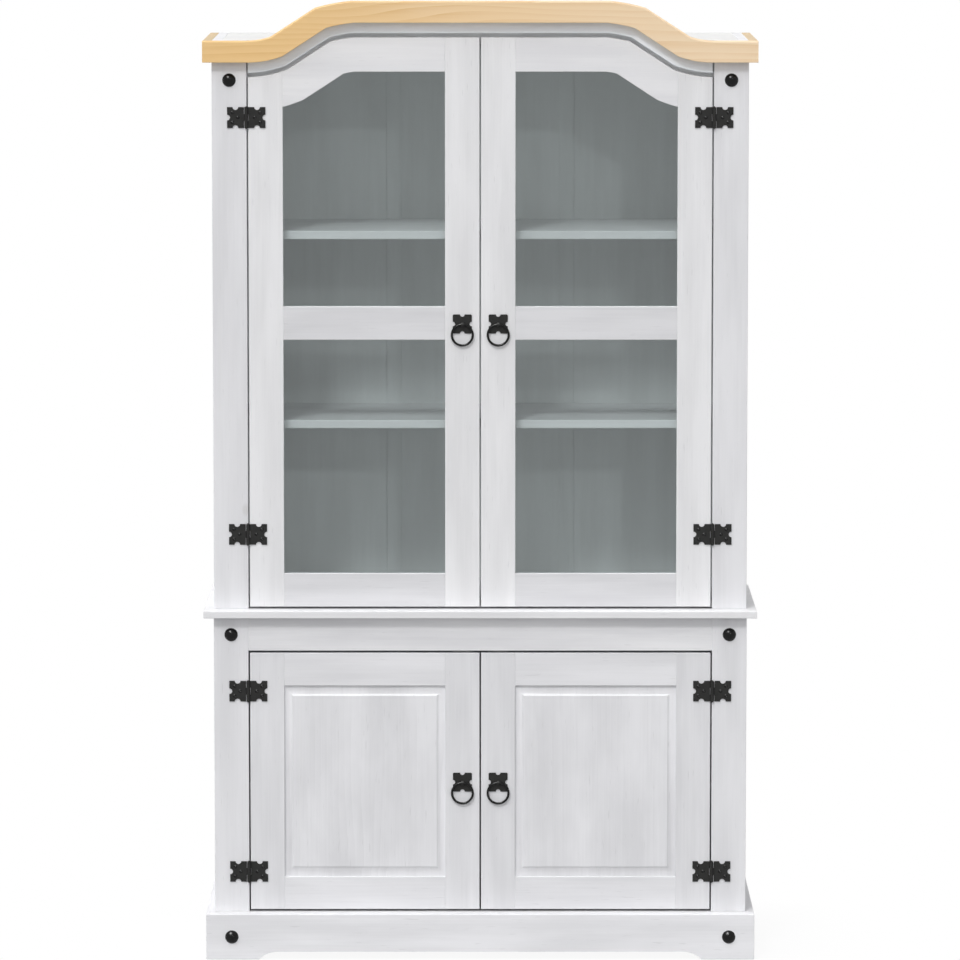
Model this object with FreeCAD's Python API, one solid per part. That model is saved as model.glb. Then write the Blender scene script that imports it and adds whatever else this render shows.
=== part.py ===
import FreeCAD, Part
import math
import os

from FreeCAD import Vector

# Two-piece pine display cabinet: a cupboard base on a plinth, and a glazed hutch with an arched cornice.
# The frame is +Z up, +X to the right as seen from the front, +Y to the back. The origin is on the floor,
# at the middle of the width and of the depth from the plinth studs to the back. All sizes are in millimetres.

# Overall carcass
BODY_W = 1080.0          # across the outer faces of the posts
OVERALL_D = 430.0        # plinth front to back panel
PLINTH_H = 93.0
BASE_H = 605.0           # plinth top to the underside of the worktop
WORKTOP_T = 14.0
HUTCH_H = 1108.0         # worktop top to the lower edge of the cornice at its ends

# How far each front stands out or back
PLINTH_PROUD = 35.0      # plinth front ahead of the base posts
PLINTH_SIDE = 17.0       # plinth ends beyond the posts
WORKTOP_FRONT = 22.0     # worktop front ahead of the base posts
WORKTOP_SIDE = 20.0      # worktop ends beyond the posts
HUTCH_SETBACK = 20.0     # hutch posts behind the base posts

# Board sections
POST_W = 70.0
POST_T = 22.0
SIDE_T = 20.0
BACK_T = 6.0
PLINTH_T = 22.0
CLEAT = 20.0             # square strips that carry the base floor
FLOOR_T = 18.0
HUTCH_FLOOR_T = 16.0
TOP_T = 16.0
SHELF_T = 16.5
BATTEN_T = 18.0
BATTEN_H = 24.0
BACK_JOINT_X = 195.0     # joints between the boards of the hutch back, from the middle
BACK_JOINT = 1.6         # width and depth of the groove at such a joint
BASE_RAIL_H = 69.0
EASE = 0.8               # sharp edges taken off every board

# Plinth cut-out
FOOT_W = 107.0           # length of the foot at each end of the plinth front
SIDE_FOOT_W = 90.0       # length of the feet of the plinth sides
CUT_RISE = 16.0
CUT_RUN = 38.0           # length of the curve from the foot to the flat of the cut-out

# Arch of the cornice, doors and glass, from the post inwards
FOOT_RUN = 68.4
FOOT_RISE = 12.4
SLOPE_RUN = 87.9
SLOPE_RISE = 57.0
SHOULDER_RUN = 55.5
SHOULDER_RISE = 10.4
CROWN_KINK = 6.0         # degrees between the level crown and the start of the shoulder
CORNICE_H = 43.5
CORNICE_EDGE = 2.8       # bevel along the cornice's upper front edge
CORNICE_T = 20.0
CORNICE_SIDE_T = 18.0
FASCIA_SHOW = 21.4       # band of fascia that shows under the cornice
FASCIA_TOP_SETDOWN = 8.0  # fascia top below the cornice top
ARCH_GAP = 9.0           # fascia to the top of the glazed doors
STOP_LAP = 14.0          # stop rail behind the door top
STOP_UP = 10.0           # stop rail above the lower edge of the cornice
STOP_T = 18.0
CORNICE_LOW_IN = 4.5     # slope of the cornice's lower edge further in than that of its top edge
FASCIA_IN = 2.0          # the same for the fascia and the stop rail

# Doors
DOOR_T = 20.0
DOOR_GAP = 3.0           # post to door
MEETING_GAP = 3.0        # between a pair of doors
DOOR_END_GAP = 4.5       # above and below a door
STILE_W = 69.5
ARCHED_RAIL_W = 68.6
MID_RAIL_W = 67.5
MID_RAIL_UP = 548.0      # worktop top to the lower edge of the glazed door's middle rail
BOTTOM_RAIL_W = 68.0
BASE_DOOR_RAIL_W = 67.0

# Glass and panels in their grooves
GLASS_T = 4.0
GLASS_SET = 8.0          # front of the door to the front of the glass
GROOVE_D = 8.0
GROOVE_PLAY = 0.2        # clearance all round a pane or panel
FIELD_RECESS = 1.0       # raised field behind the front of the door
EDGE_RECESS = 6.0        # panel edge behind the front of the door
PANEL_BACK = 13.0        # panel back behind the front of the door
COVE_W = 12.5
SIDE_FLAT = 5.0          # flat edge of a panel that shows beside the stiles
END_FLAT = 8.5           # flat edge of a panel that shows at the rails

# Shelves
HUTCH_SHELF_UP = (766.0, 382.0)  # worktop top to the tops of the upper and lower hutch shelves
BASE_SHELF_UP = 262.0    # base floor to the top of the base shelf
SHELF_SETBACK = 10.0     # shelf front behind the back of the doors

# Butterfly hinges
HINGE_H = 42.0
HINGE_OUT = 2.0          # hinge axis outside the middle of the door gap
LEAF_REACH = 38.5        # hinge axis to the outer end of a leaf
LEAF_T = 2.0
LEAF_PLAY = 1.2          # leaf to the other leaf's knuckles
KNUCKLE_R = 3.6
KNUCKLE_PLAY = 0.3       # between knuckles along the pin
PIN_R = 1.8
PIN_PLAY = 0.05
PIN_TIP = 1.5            # pin beyond the knuckles at each end
LEAF_NOTCH_R = 5.9
LEAF_NOTCH_IN = 16.7     # end of a leaf to its upper and lower notches
BASE_HINGE_IN = 78.0     # base door ends to the hinge centres
HUTCH_HINGE_DOWN = 80.6  # outer top of the glazed door to its upper hinge
HUTCH_HINGE_UP = 148.0   # bottom of the glazed door to its lower hinge

# Ring pulls
PLATE_W = 38.5
PULL_DROP = 1.4          # plate below the middle of the rail or door
EYE_DROP = 1.0           # eye below the middle of its plate
PLATE_T = 2.0
PLATE_NOTCH_R = 4.8
PLATE_CORNER = 1.8
EYE_W = 5.0
EYE_WALL = 1.7
EYE_PLAY = 0.65          # ring wire to the eye's bore
EYE_STAND = 3.3          # plate front to the middle of the eye
RING_R = 21.0
WIRE_R = 2.45

# Domed studs and magnetic catches
STUD_R = 13.6
STUD_H = 9.0
STUD_DROP = 36.0         # cornice or worktop down to the stud below it
SHANK_R = 2.0
SHANK_L = 16.0
CATCH_W = 40.0
CATCH_D = 14.0
CATCH_H = 12.0
CATCH_HANG = 21.0        # base catch below the top rail
STRIKE_T = 0.8
STRIKE_EDGE = 2.0        # strike plate smaller than the catch on each side

# Facets of small rounds that repeat, kept few so that the model stays light
ROUND_SIDES = 12         # knuckles, eyes and notches
STUD_SIDES = 20
DOME_BANDS = 4
RING_SIDES = 28
WIRE_SIDES = 10

# Levels and planes that follow from the sizes above
HALF_W = BODY_W / 2
POST_IN = HALF_W - POST_W
SIDE_IN = HALF_W - SIDE_T
BACK_Y = (OVERALL_D + STUD_H) / 2
PANEL_Y = BACK_Y - BACK_T
PLINTH_Y = BACK_Y - OVERALL_D
BASE_Y = PLINTH_Y + PLINTH_PROUD
WORKTOP_Y = BASE_Y - WORKTOP_FRONT
HUTCH_Y = BASE_Y + HUTCH_SETBACK
CORNICE_Y = HUTCH_Y - CORNICE_T
WORKTOP_Z = PLINTH_H + BASE_H
LEDGE_Z = WORKTOP_Z + WORKTOP_T
ARCH_FOOT_Z = LEDGE_Z + HUTCH_H
ARCH_CROWN_Z = ARCH_FOOT_Z + FOOT_RISE + SLOPE_RISE + SHOULDER_RISE
TOP_Z = ARCH_FOOT_Z + CORNICE_H
CROWN_HALF = POST_IN - FOOT_RUN - SLOPE_RUN - SHOULDER_RUN

DOOR_TOP_DROP = FASCIA_SHOW + ARCH_GAP
GLASS_DROP = DOOR_TOP_DROP + ARCHED_RAIL_W
STOP_DROP = DOOR_TOP_DROP + STOP_LAP
HINGE_X = POST_IN - DOOR_GAP / 2 + HINGE_OUT
DOOR_OUT = POST_IN - DOOR_GAP
DOOR_IN = MEETING_GAP / 2
PANE_OUT = DOOR_OUT - STILE_W
PANE_IN = DOOR_IN + STILE_W
PULL_X = DOOR_IN + STILE_W / 2
HUTCH_DOOR_Z = LEDGE_Z + DOOR_END_GAP
MID_RAIL_Z = LEDGE_Z + MID_RAIL_UP
BASE_DOOR_Z = PLINTH_H + DOOR_END_GAP
BASE_DOOR_TOP = WORKTOP_Z - BASE_RAIL_H - DOOR_END_GAP
STOP_Y = HUTCH_Y + POST_T
MARGIN = 50.0            # overrun of cutting shapes

RIGHTWARD = Vector(1, 0, 0)
BACKWARD = Vector(0, 1, 0)
UPWARD = Vector(0, 0, 1)


def box(x0, x1, y0, y1, z0, z1):
    """Plain box between two corners."""
    return Part.makeBox(x1 - x0, y1 - y0, z1 - z0, Vector(x0, y0, z0))


def board(x0, x1, y0, y1, z0, z1):
    """Sawn board with its edges eased."""
    blank = box(x0, x1, y0, y1, z0, z1)
    return blank.makeChamfer(EASE, blank.Edges)


def round_wire(radius, centre, axis, sides):
    """Closed wire of straight sides, inscribed in a circle round an axis along X, Y or Z."""
    across = Vector(axis.z, axis.x, axis.y)
    up = axis.cross(across)
    turns = [2 * math.pi * side / sides for side in range(sides + 1)]
    return Part.makePolygon([centre + (across * math.cos(a) + up * math.sin(a)) * radius for a in turns])


def rod(radius, length, start, axis):
    """Many-sided rod, inscribed in its radius."""
    return Part.Face(round_wire(radius, start, axis, ROUND_SIDES)).extrude(axis * length)


def mirrored(shape):
    """The same piece on the left side of the cabinet."""
    return shape.mirror(Vector(0, 0, 0), Vector(1, 0, 0))


def save(name, *solids):
    """Write one node; identical pieces share a node as separate solids."""
    shape = solids[0] if len(solids) == 1 else Part.makeCompound(list(solids))
    shape.exportStep("parts/%s.step" % name)


def save_pair(left_name, right_name, *right_solids):
    """Write a right-hand node and its mirror image on the left."""
    save(right_name, *right_solids)
    save(left_name, *[mirrored(solid) for solid in right_solids])


def on_line(start, step, centre, radius, sign):
    """Point where a line meets a circle: the first crossing with sign -1, the second with +1."""
    offset = start - centre
    along = offset.dot(step)
    reach = math.sqrt(along ** 2 - offset.dot(offset) + radius ** 2)
    return start + step * (sign * reach - along)


def arc_edge(start, end, centre, radius):
    """Short circular edge between two points."""
    middle = (start + end) * 0.5 - centre
    middle.normalize()
    return Part.Arc(start, centre + middle * radius, end).toShape()


def arch_outline(drop, y, inward):
    """Closed outline of everything below an arch that lies drop below the base line, its slopes set in."""
    kink = math.radians(CROWN_KINK)
    bulge = SHOULDER_RISE * math.cos(kink) - SHOULDER_RUN * math.sin(kink)
    crown_radius = (SHOULDER_RUN ** 2 + SHOULDER_RISE ** 2) / (2 * bulge)
    foot_radius = (FOOT_RUN ** 2 + FOOT_RISE ** 2) / (2 * FOOT_RISE)
    crown_x = CROWN_HALF - inward
    foot_x = POST_IN - inward
    crown_centre = Vector(crown_x, y, ARCH_CROWN_Z) - Vector(math.sin(kink), 0, math.cos(kink)) * crown_radius
    foot_centre = Vector(foot_x, y, ARCH_FOOT_Z + foot_radius)
    slope = Vector(SLOPE_RUN, 0, -SLOPE_RISE).normalize()
    down = Vector(slope.z, 0, -slope.x)
    start = Vector(crown_x + SHOULDER_RUN, y, ARCH_CROWN_Z - SHOULDER_RISE) + down * drop

    level = Vector(crown_x, y, ARCH_CROWN_Z - drop)
    crown = on_line(level, RIGHTWARD, crown_centre, crown_radius - drop, 1)
    shoulder = on_line(start, slope, crown_centre, crown_radius - drop, -1)
    hip = on_line(start, slope, foot_centre, foot_radius + drop, 1)
    foot = Vector(foot_x, y, ARCH_FOOT_Z - drop)
    end = Vector(HALF_W + MARGIN, y, ARCH_FOOT_Z - drop)
    corner = Vector(end.x, y, 0)
    right = [
        arc_edge(crown, shoulder, crown_centre, crown_radius - drop),
        Part.makeLine(shoulder, hip),
        arc_edge(hip, foot, foot_centre, foot_radius + drop),
        Part.makeLine(foot, end),
        Part.makeLine(end, corner),
    ]
    left = [mirrored(edge) for edge in right]
    crown_line = Part.makeLine(Vector(-crown.x, y, crown.z), crown)
    floor_line = Part.makeLine(corner, Vector(-corner.x, y, 0))
    return Part.Wire(Part.__sortEdges__(right + left + [crown_line, floor_line]))


def under_arch(drop, inward, y0, y1, ease=0.0):
    """Everything below the arch between two planes, with its front edge taken back (or out) by ease."""
    if not ease:
        return Part.Face(arch_outline(drop, y0, inward)).extrude(Vector(0, y1 - y0, 0))
    y_eased = y0 + abs(ease)
    outlines = [arch_outline(drop + ease, y0, inward), arch_outline(drop, y_eased, inward)]
    return Part.makeLoft(outlines, True, True).fuse(under_arch(drop, inward, y_eased, y1)).removeSplitter()


def ease_front(blank, y):
    """Ease the front edges of a straight board."""
    edges = [e for e in blank.Edges if all(abs(v.Y - y) < 1e-6 for v in e.Vertexes)]
    return blank.makeChamfer(EASE, edges)


def arched_board(top, low, half, y0, y1, top_ease=EASE):
    """Board sawn to the arch on both edges, each given as its drop and how far its slopes are set in."""
    blank = under_arch(*top, y0, y1, top_ease).cut(under_arch(*low, y0, y1, -EASE))
    return blank.common(box(-half, half, y0, y1, 0, ARCH_CROWN_Z + CORNICE_H + MARGIN))


def foot_cut(length_end, depth0, depth1):
    """Cut-out under a plinth board from -length_end to +length_end along X, through depth0 to depth1 in Y."""
    run_in = length_end - CUT_RUN
    radius = (CUT_RUN ** 2 + CUT_RISE ** 2) / (2 * CUT_RISE)
    centre = Vector(run_in, depth0, CUT_RISE - radius)
    low = Vector(length_end, depth0, 0)
    high = Vector(run_in, depth0, CUT_RISE)
    right = [Part.makeLine(Vector(0, depth0, CUT_RISE), high), arc_edge(high, low, centre, radius)]
    left = [mirrored(edge) for edge in right]
    floor = Part.makeLine(low, Vector(-length_end, depth0, 0))
    outline = Part.Wire(Part.__sortEdges__(right + left + [floor]))
    return Part.Face(outline).extrude(Vector(0, depth1 - depth0, 0))


def make_plinth():
    """Plinth frame with cut-out feet, the strips inside it and the base floor that drops in flush."""
    end = HALF_W + PLINTH_SIDE
    inner = end - PLINTH_T
    inner_y = PLINTH_Y + PLINTH_T
    front = board(-end, end, PLINTH_Y, inner_y, 0, PLINTH_H)
    save("plinth_front", front.cut(foot_cut(end - FOOT_W, PLINTH_Y, inner_y)))

    side = board(inner, end, inner_y, BACK_Y, 0, PLINTH_H)
    side_cut = foot_cut((BACK_Y - inner_y) / 2 - SIDE_FOOT_W, inner, end)
    side_cut.rotate(Vector(0, 0, 0), Vector(0, 0, 1), -90)
    side_cut.translate(Vector(0, (inner_y + BACK_Y) / 2, 0))
    side_cut.translate(Vector(inner - side_cut.BoundBox.XMin, 0, 0))
    save_pair("plinth_side_left", "plinth_side_right", side.cut(side_cut))

    back_in = BACK_Y - PLINTH_T
    save("plinth_back", board(-inner, inner, back_in, BACK_Y, 0, PLINTH_H))
    cleat_top = PLINTH_H - FLOOR_T
    save("plinth_cleats",
         board(-inner, inner, inner_y, inner_y + CLEAT, cleat_top - CLEAT, cleat_top),
         board(-inner, inner, back_in - CLEAT, back_in, cleat_top - CLEAT, cleat_top))
    save("base_floor", board(-inner, inner, inner_y, back_in, cleat_top, PLINTH_H))


def make_base():
    """Cupboard carcass: posts, top rail, sides, back, shelf and worktop."""
    back_of_post = BASE_Y + POST_T
    save_pair("base_post_left", "base_post_right",
              board(POST_IN, HALF_W, BASE_Y, back_of_post, PLINTH_H, WORKTOP_Z))
    save("base_top_rail", board(-POST_IN, POST_IN, BASE_Y, back_of_post, WORKTOP_Z - BASE_RAIL_H, WORKTOP_Z))
    save_pair("base_side_left", "base_side_right",
              board(SIDE_IN, HALF_W, back_of_post, PANEL_Y, PLINTH_H, WORKTOP_Z))
    save("base_back", board(-HALF_W, HALF_W, PANEL_Y, BACK_Y, PLINTH_H, WORKTOP_Z))
    shelf_z = PLINTH_H + BASE_SHELF_UP
    save("base_shelf", board(-SIDE_IN, SIDE_IN, BASE_Y + DOOR_T + SHELF_SETBACK, PANEL_Y,
                             shelf_z - SHELF_T, shelf_z))
    worktop_end = HALF_W + WORKTOP_SIDE
    save("worktop", board(-worktop_end, worktop_end, WORKTOP_Y, BACK_Y, WORKTOP_Z, LEDGE_Z))


def make_hutch():
    """Glazed upper carcass: floor, posts, sides, top, back, shelves and the arched front pieces."""
    save("hutch_floor", board(-SIDE_IN, SIDE_IN, STOP_Y, PANEL_Y, LEDGE_Z, LEDGE_Z + HUTCH_FLOOR_T))
    save_pair("hutch_post_left", "hutch_post_right",
              board(POST_IN, HALF_W, HUTCH_Y, STOP_Y, LEDGE_Z, TOP_Z))
    save_pair("hutch_side_left", "hutch_side_right",
              board(SIDE_IN, HALF_W, STOP_Y, PANEL_Y, LEDGE_Z, TOP_Z))
    save("hutch_top", board(-SIDE_IN, SIDE_IN, STOP_Y + STOP_T, PANEL_Y, TOP_Z - TOP_T, TOP_Z))
    back = board(-HALF_W, HALF_W, PANEL_Y, BACK_Y, LEDGE_Z, TOP_Z)
    half_joint = BACK_JOINT / 2
    for x in (-BACK_JOINT_X, BACK_JOINT_X):
        back = back.cut(box(x - half_joint, x + half_joint, PANEL_Y, PANEL_Y + BACK_JOINT, LEDGE_Z, TOP_Z))
    save("hutch_back", back)
    shelf_y = HUTCH_Y + DOOR_T + SHELF_SETBACK
    for name, up in zip(("hutch_shelf_upper", "hutch_shelf_lower"), HUTCH_SHELF_UP):
        shelf_z = LEDGE_Z + up
        save(name, board(-SIDE_IN, SIDE_IN, shelf_y, PANEL_Y, shelf_z - SHELF_T, shelf_z))

    fascia_top = (FASCIA_TOP_SETDOWN - CORNICE_H, FASCIA_IN)
    save("hutch_fascia", arched_board(fascia_top, (FASCIA_SHOW, FASCIA_IN), DOOR_OUT, HUTCH_Y, STOP_Y))
    stop_edges = (-STOP_UP, FASCIA_IN), (STOP_DROP, FASCIA_IN)
    save("hutch_stop_rail", arched_board(*stop_edges, SIDE_IN, STOP_Y, STOP_Y + STOP_T))
    cornice_end = HALF_W + CORNICE_SIDE_T
    cornice_edges = (-CORNICE_H, 0), (0, CORNICE_LOW_IN)
    save("cornice_front", arched_board(*cornice_edges, cornice_end, CORNICE_Y, HUTCH_Y, CORNICE_EDGE))
    save_pair("cornice_side_left", "cornice_side_right",
              board(HALF_W, cornice_end, HUTCH_Y, BACK_Y, ARCH_FOOT_Z, TOP_Z))


def make_battens():
    """Strips under the ends of every shelf."""
    shelves = [(PLINTH_H + BASE_SHELF_UP, BASE_Y + DOOR_T + SHELF_SETBACK)]
    for up in HUTCH_SHELF_UP:
        shelves.append((LEDGE_Z + up, HUTCH_Y + DOOR_T + SHELF_SETBACK))
    strips = []
    for shelf_z, shelf_y in shelves:
        under = shelf_z - SHELF_T
        strip = board(SIDE_IN - BATTEN_T, SIDE_IN, shelf_y + SHELF_SETBACK, PANEL_Y, under - BATTEN_H, under)
        strips += [strip, mirrored(strip)]
    save("shelf_battens", *strips)


def glazed_door_frame():
    """Right-hand glazed door: stiles, arched rail, straight rails and the two panes in their grooves."""
    back = HUTCH_Y + DOOR_T
    top = ARCH_CROWN_Z
    glass_y = HUTCH_Y + GLASS_SET
    mid_top = MID_RAIL_Z + MID_RAIL_W
    low_top = HUTCH_DOOR_Z + BOTTOM_RAIL_W

    def pane(lap, play):
        """Upper and lower sheet that reach lap into the frame, thicker by play on each face."""
        y0 = glass_y - play
        y1 = glass_y + GLASS_T + play
        upper = box(PANE_IN - lap, PANE_OUT + lap, y0, y1, mid_top - lap, top)
        lower = box(PANE_IN - lap, PANE_OUT + lap, y0, y1, low_top - lap, MID_RAIL_Z + lap)
        return upper.common(under_arch(GLASS_DROP - lap, 0, y0, y1)), lower

    grooves = pane(GROOVE_D, GROOVE_PLAY)
    under_top = under_arch(DOOR_TOP_DROP, 0, HUTCH_Y, back, EASE)

    def member(x0, x1, z0, z1):
        """Straight member, eased in front, cut to the arch and grooved for the glass."""
        return ease_front(box(x0, x1, HUTCH_Y, back, z0, z1), HUTCH_Y).common(under_top).cut(grooves)

    stiles = [member(PANE_OUT, DOOR_OUT, HUTCH_DOOR_Z, top), member(DOOR_IN, PANE_IN, HUTCH_DOOR_Z, top)]
    rails = [member(PANE_IN, PANE_OUT, MID_RAIL_Z, mid_top),
             member(PANE_IN, PANE_OUT, HUTCH_DOOR_Z, low_top)]
    arched = member(PANE_IN, PANE_OUT, mid_top, top).cut(under_arch(GLASS_DROP, 0, HUTCH_Y, back, -EASE))
    return stiles, rails, arched, pane(GROOVE_D - GROOVE_PLAY, 0)


def cove_profile(edge, toward, flat, plane):
    """Outline of the scoop along one panel edge; plane turns (distance, depth) into a point."""
    step = GROOVE_D - GROOVE_PLAY + flat
    depth = EDGE_RECESS - FIELD_RECESS
    radius = (COVE_W ** 2 + depth ** 2) / (2 * depth)
    at = [edge - toward * MARGIN, edge + toward * step, edge + toward * (step + COVE_W)]
    low = BASE_Y + EDGE_RECESS
    high = BASE_Y + FIELD_RECESS
    front = BASE_Y - MARGIN
    points = [plane(at[0], front), plane(at[0], low), plane(at[1], low),
              plane(at[2], high), plane(at[2], front)]
    arc = arc_edge(points[2], points[3], plane(at[1], low - radius), radius)
    lines = [Part.makeLine(points[0], points[1]), Part.makeLine(points[1], points[2]), arc,
             Part.makeLine(points[3], points[4]), Part.makeLine(points[4], points[0])]
    return Part.Face(Part.Wire(lines))


def panelled_door_frame():
    """Right-hand base door: stiles, rails and the raised panel with scooped edges."""
    back = BASE_Y + DOOR_T
    light_z0 = BASE_DOOR_Z + BASE_DOOR_RAIL_W
    light_z1 = BASE_DOOR_TOP - BASE_DOOR_RAIL_W
    members = [box(PANE_OUT, DOOR_OUT, BASE_Y, back, BASE_DOOR_Z, BASE_DOOR_TOP),
               box(DOOR_IN, PANE_IN, BASE_Y, back, BASE_DOOR_Z, BASE_DOOR_TOP),
               box(PANE_IN, PANE_OUT, BASE_Y, back, light_z1, BASE_DOOR_TOP),
               box(PANE_IN, PANE_OUT, BASE_Y, back, BASE_DOOR_Z, light_z0)]
    groove = box(PANE_IN - GROOVE_D, PANE_OUT + GROOVE_D,
                 BASE_Y + EDGE_RECESS - GROOVE_PLAY, BASE_Y + PANEL_BACK + GROOVE_PLAY,
                 light_z0 - GROOVE_D, light_z1 + GROOVE_D)
    members = [ease_front(member, BASE_Y).cut(groove) for member in members]

    lap = GROOVE_D - GROOVE_PLAY
    x0, x1 = PANE_IN - lap, PANE_OUT + lap
    z0, z1 = light_z0 - lap, light_z1 + lap
    panel = box(x0, x1, BASE_Y + FIELD_RECESS, BASE_Y + PANEL_BACK, z0, z1)
    for edge, toward in ((x0, 1), (x1, -1)):
        scoop = cove_profile(edge, toward, SIDE_FLAT, lambda s, y: Vector(s, y, z0 - MARGIN))
        panel = panel.cut(scoop.extrude(Vector(0, 0, z1 - z0 + 2 * MARGIN)))
    for edge, toward in ((z0, 1), (z1, -1)):
        scoop = cove_profile(edge, toward, END_FLAT, lambda s, y: Vector(x0 - MARGIN, y, s))
        panel = panel.cut(scoop.extrude(Vector(x1 - x0 + 2 * MARGIN, 0, 0)))
    return members, panel


def hinge_leaf(side, face_y, z, knuckles):
    """Leaf of a right-hand butterfly hinge: side +1 lies on the post and -1 on the door."""
    axis_y = face_y - KNUCKLE_R
    near = HINGE_X + side * (KNUCKLE_R + LEAF_PLAY)
    far = HINGE_X + side * LEAF_REACH
    leaf = box(*sorted((near, far)), face_y - LEAF_T, face_y, z - HINGE_H / 2, z + HINGE_H / 2)
    notch_x = far - side * LEAF_NOTCH_IN
    for x, notch_z in ((notch_x, z - HINGE_H / 2), (notch_x, z + HINGE_H / 2), (far, z)):
        leaf = leaf.cut(rod(LEAF_NOTCH_R, 2 * MARGIN, Vector(x, face_y - MARGIN, notch_z), BACKWARD))
    web = sorted((HINGE_X, near))
    for z0, z1 in knuckles:
        leaf = leaf.fuse(box(*web, face_y - LEAF_T, face_y, z0, z1))
        leaf = leaf.fuse(rod(KNUCKLE_R, z1 - z0, Vector(HINGE_X, axis_y, z0), UPWARD))
    hole_r = (PIN_R + PIN_PLAY) / math.cos(math.pi / ROUND_SIDES)
    hole = rod(hole_r, HINGE_H, Vector(HINGE_X, axis_y, z - HINGE_H / 2), UPWARD)
    return leaf.cut(hole).removeSplitter()


def make_hinges():
    """Four pairs of butterfly hinges. The post leaf has the middle knuckle, the door leaf the outer two."""
    hutch_top = ARCH_FOOT_Z - DOOR_TOP_DROP
    doors = {"hutch": (HUTCH_Y, (HUTCH_DOOR_Z + HUTCH_HINGE_UP, hutch_top - HUTCH_HINGE_DOWN)),
             "base": (BASE_Y, (BASE_DOOR_Z + BASE_HINGE_IN, BASE_DOOR_TOP - BASE_HINGE_IN))}
    half_knuckle = HINGE_H / 3 / 2
    post_leaves, pins = [], []
    for door, (face_y, heights) in doors.items():
        door_leaves = []
        for z in heights:
            middle = (z - half_knuckle, z + half_knuckle)
            outer = ((z - HINGE_H / 2, middle[0] - KNUCKLE_PLAY),
                     (middle[1] + KNUCKLE_PLAY, z + HINGE_H / 2))
            post_leaves.append(hinge_leaf(1, face_y, z, (middle,)))
            door_leaves.append(hinge_leaf(-1, face_y, z, outer))
            pin_foot = Vector(HINGE_X, face_y - KNUCKLE_R, z - HINGE_H / 2 - PIN_TIP)
            pins.append(Part.makeCylinder(PIN_R, HINGE_H + 2 * PIN_TIP, pin_foot, UPWARD))
        save_pair(door + "_left_hinge_leaves", door + "_right_hinge_leaves", *door_leaves)
    save("hinge_post_leaves", *post_leaves, *[mirrored(leaf) for leaf in post_leaves])
    save("hinge_pins", *pins, *[mirrored(pin) for pin in pins])


def pull_plate(face_y, z):
    """Notched square plate with the eye that the ring hangs in."""
    front = face_y - PLATE_T
    half = PLATE_W / 2
    plate = box(PULL_X - half, PULL_X + half, front, face_y, z - half, z + half)
    corners = [e for e in plate.Edges if abs(e.tangentAt(e.FirstParameter).y) > 0.5]
    plate = plate.makeChamfer(PLATE_CORNER, corners)
    for dx, dz in ((half, 0), (-half, 0), (0, half), (0, -half)):
        start = Vector(PULL_X + dx, face_y - MARGIN, z + dz)
        plate = plate.cut(rod(PLATE_NOTCH_R, 2 * MARGIN, start, BACKWARD))
    bore_r = WIRE_R + EYE_PLAY
    start = Vector(PULL_X - EYE_W / 2, front - EYE_STAND, z - EYE_DROP)
    eye = rod(bore_r + EYE_WALL, EYE_W, start, RIGHTWARD)
    bore = Part.makeCylinder(bore_r, EYE_W, start, RIGHTWARD)
    return plate.fuse(eye).cut(bore).removeSplitter()


def pull_ring(centre):
    """Closed ring of round rod in an upright plane, as a skin of flat facets."""
    def corner(i, j):
        """Point i steps round the ring and j steps round its rod."""
        a = 2 * math.pi * i / RING_SIDES
        b = 2 * math.pi * j / WIRE_SIDES
        reach = RING_R + WIRE_R * math.cos(b)
        return centre + Vector(reach * math.cos(a), WIRE_R * math.sin(b), reach * math.sin(a))

    facets = []
    for i in range(RING_SIDES):
        for j in range(WIRE_SIDES):
            loop = [corner(i, j), corner(i, j + 1), corner(i + 1, j + 1), corner(i + 1, j), corner(i, j)]
            facets.append(Part.Face(Part.makePolygon(loop)))
    return Part.Solid(Part.makeShell(facets))


def make_pulls_and_catches():
    """Ring pulls on the meeting stiles, and a magnetic catch with its strike plate behind each of them."""
    stop_edge = ARCH_CROWN_Z - STOP_DROP
    rail_edge = WORKTOP_Z - BASE_RAIL_H
    catch_x0 = PULL_X - CATCH_W / 2
    catch_x1 = PULL_X + CATCH_W / 2
    hutch_catch = box(catch_x0, catch_x1, STOP_Y, STOP_Y + CATCH_D, stop_edge - CATCH_H, stop_edge)
    base_catch_y = BASE_Y + POST_T
    base_catch = box(catch_x0, catch_x1, base_catch_y, base_catch_y + CATCH_D,
                     rail_edge - CATCH_HANG, rail_edge + CATCH_H)
    save("magnet_catches", hutch_catch, mirrored(hutch_catch), base_catch, mirrored(base_catch))

    hutch_strike_z = (stop_edge - CATCH_H + STRIKE_EDGE, stop_edge - STRIKE_EDGE)
    base_strike_z = (rail_edge - CATCH_HANG + STRIKE_EDGE, BASE_DOOR_TOP - STRIKE_EDGE)
    rows = (("hutch", HUTCH_Y, MID_RAIL_Z + MID_RAIL_W / 2, hutch_strike_z),
            ("base", BASE_Y, (BASE_DOOR_Z + BASE_DOOR_TOP) / 2, base_strike_z))
    for door, face_y, middle, strike_z in rows:
        z = middle - PULL_DROP
        back = face_y + DOOR_T
        strike = box(catch_x0 + STRIKE_EDGE, catch_x1 - STRIKE_EDGE, back, back + STRIKE_T, *strike_z)
        names = [door + side + "_pull_and_strike" for side in ("_left", "_right")]
        save_pair(*names, pull_plate(face_y, z), strike)
        ring = pull_ring(Vector(PULL_X, face_y - PLATE_T - EYE_STAND, z - EYE_DROP - RING_R))
        save_pair(door + "_left_ring", door + "_right_ring", ring)


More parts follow.
